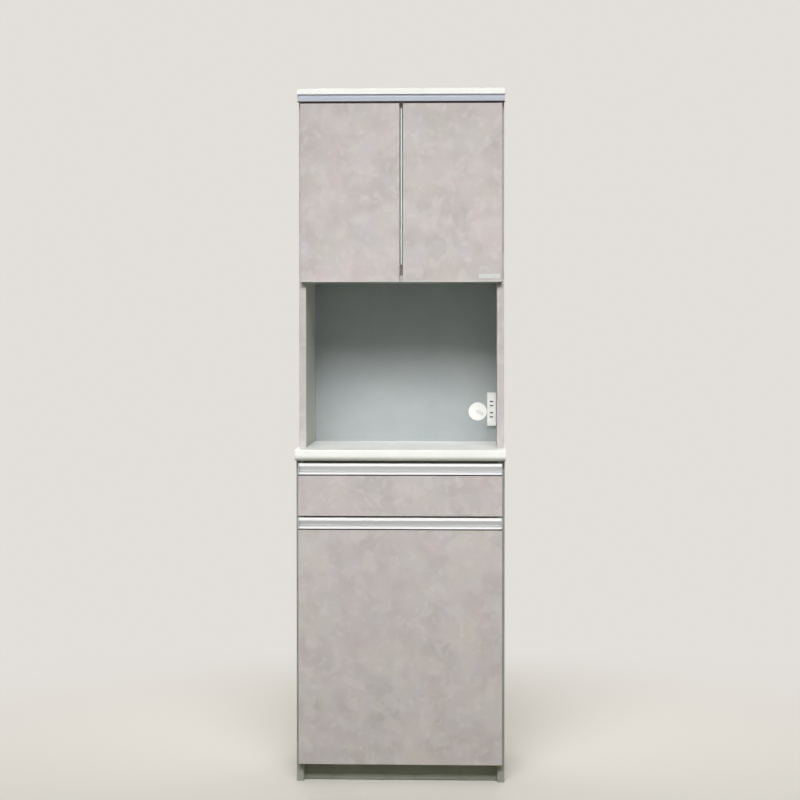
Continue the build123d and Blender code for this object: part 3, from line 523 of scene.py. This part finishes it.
def makeDustStrip():
    material, tree, shader, place = startMaterial("softPvc", dustStrip["sockets"])
    colour, cloud = printLayers(tree, place, dustStrip)
    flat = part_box("left_door_panel")[1].y
    start, full = [flat + step * mm for step in dustStrip["gapShadeMm"]]
    # painted shade: grey on the strip deeper than the door's inner face
    behind = (past(tree, place.outputs["Object"], "Y", start, full), 1)
    join(tree, laidOver(tree, behind, colour, linear(dustStrip["gapShade"])), shader, "Base Color")
    grainSkin(tree, place, shader, dustStrip, cloud)
    dress(material, dustStrip["nodes"])


makeGripRails()
makePlain(metals)
makePlain(plastics)
makePlain(woods)
makeDustStrip()
print("metals, plastics and wood dressed")


# small pieces that only show on the surface

def startBlock(low, high):  # mesh of a block between two corners
    size = high - low
    mesh = bmesh.new()
    bmesh.ops.create_cube(mesh, size=1, matrix=Matrix.Translation((low + high) / 2) @ Matrix.Diagonal(
        (size.x, size.y, size.z, 1)))
    return mesh


def easeEdges(mesh, edges, radiusMm, steps):
    bmesh.ops.bevel(mesh, geom=edges, offset=radiusMm * mm, offset_type="OFFSET", segments=steps,
                    profile=0.5, affect="EDGES", material=-1)


def placeMesh(name, mesh, material, body):
    bmesh.ops.recalc_face_normals(mesh, faces=mesh.faces[:])
    data = bpy.data.meshes.new(name)
    mesh.to_mesh(data)
    mesh.free()
    piece = bpy.data.objects.new(name, data)
    scene.collection.objects.link(piece)
    data.materials.append(bpy.data.materials[material])
    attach(piece, body)


# bare plate on the lower corner of the right door: thin, with soft edges
doorPlate = {"widthMm": 61, "heightMm": 13, "thickMm": 0.8, "cornerMm": 1.5, "cornerSteps": 5,
             "easeMm": 0.3, "easeSteps": 3, "edgeGapMm": 6, "footGapMm": 10}


def makeDoorPlate():
    low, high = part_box("right_door_panel")
    right = high.x - doorPlate["edgeGapMm"] * mm
    foot = low.z + doorPlate["footGapMm"] * mm
    thick = doorPlate["thickMm"] * mm
    mesh = startBlock(Vector((right - doorPlate["widthMm"] * mm, low.y - thick, foot)),
                      Vector((right, low.y, foot + doorPlate["heightMm"] * mm)))
    corners = [e for e in mesh.edges if abs(e.verts[0].co.y - e.verts[1].co.y) > thick / 2]
    easeEdges(mesh, corners, doorPlate["cornerMm"], doorPlate["cornerSteps"])
    face = min(mesh.faces, key=lambda f: f.calc_center_median().y)
    easeEdges(mesh, face.edges[:], doorPlate["easeMm"], doorPlate["easeSteps"])
    placeMesh("doorPlate", mesh, "palePlate", "right_door")


# dark rubber seal in the seam between each grip rail and its drawer front, its lip lapped over the front:
# a dark piece put where the seam's shadow falls, painted shade
gripShadowSeal = {"depthMm": 7, "clearMm": 0.05, "lipMm": 0.5, "lapMm": 1.2, "roundMm": 0.3, "roundSteps": 4,
            "fronts": {"drawerShadowSeal": "drawer", "deepDrawerShadowSeal": "deep_drawer"}}


def makeGripShadowSeals():
    for name, body in gripShadowSeal["fronts"].items():
        low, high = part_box(body + "_front")
        clear = gripShadowSeal["clearMm"] * mm
        foot = high.z + clear
        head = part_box(body + "_handle_caps")[0].z - clear
        inner = low.y + gripShadowSeal["depthMm"] * mm
        face = low.y - clear
        lip = face - gripShadowSeal["lipMm"] * mm
        lap = high.z - gripShadowSeal["lapMm"] * mm
        section = [(inner, foot), (inner, head), (lip, head), (lip, lap), (face, lap), (face, foot)]
        mesh = bmesh.new()
        end = mesh.faces.new([mesh.verts.new((low.x, y, z)) for y, z in section])
        swept = bmesh.ops.extrude_face_region(mesh, geom=[end], use_keep_orig=True)["geom"]
        bmesh.ops.translate(mesh, verts=[v for v in swept if isinstance(v, bmesh.types.BMVert)],
                            vec=(high.x - low.x, 0, 0))
        nose = [e for e in mesh.edges if max(v.co.y for v in e.verts) - lip < clear / 2]
        easeEdges(mesh, nose, gripShadowSeal["roundMm"], gripShadowSeal["roundSteps"])
        placeMesh(name, mesh, "shadowRubber", body)


# dark rim round each blade slot of the outlet: painted shade that makes the slots read as dark holes
slotShadeRim = {"slotMm": (8.6, 2.2), "rimMm": 0.7, "proudMm": 0.2, "bladesMm": 12.7, "socketsMm": 34.2}


def makeSlotShadeRims():
    low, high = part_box("outlet_faceplate")
    centre = (low + high) / 2
    width, height = [(side + 2 * slotShadeRim["rimMm"]) * mm for side in slotShadeRim["slotMm"]]
    mesh = bmesh.new()
    for socket in (-0.5, 0.5):  # half a spacing to each side of the middle
        for blade in (-0.5, 0.5):
            level = centre.z + (socket * slotShadeRim["socketsMm"] + blade * slotShadeRim["bladesMm"]) * mm
            seat = Matrix.Translation((centre.x, low.y, level)) @ Matrix.Rotation(radians(90), 4, "X")
            bmesh.ops.create_grid(mesh, x_segments=1, y_segments=1, size=0.5,
                                  matrix=seat @ Matrix.Diagonal((width, height, 1, 1)))
    slots = mesh.faces[:]
    bmesh.ops.inset_individual(mesh, faces=slots, thickness=slotShadeRim["rimMm"] * mm, use_even_offset=True)
    bmesh.ops.delete(mesh, geom=slots, context="FACES")
    raised = bmesh.ops.extrude_face_region(mesh, geom=mesh.faces[:], use_keep_orig=True)["geom"]
    bmesh.ops.translate(mesh, verts=[v for v in raised if isinstance(v, bmesh.types.BMVert)],
                        vec=(0, -slotShadeRim["proudMm"] * mm, 0))
    placeMesh("slotShadeRims", mesh, "shadedPhenolic", "carcass")


makeDoorPlate()
makeGripShadowSeals()
makeSlotShadeRims()
print("door plate, grip seals and slot liners made")
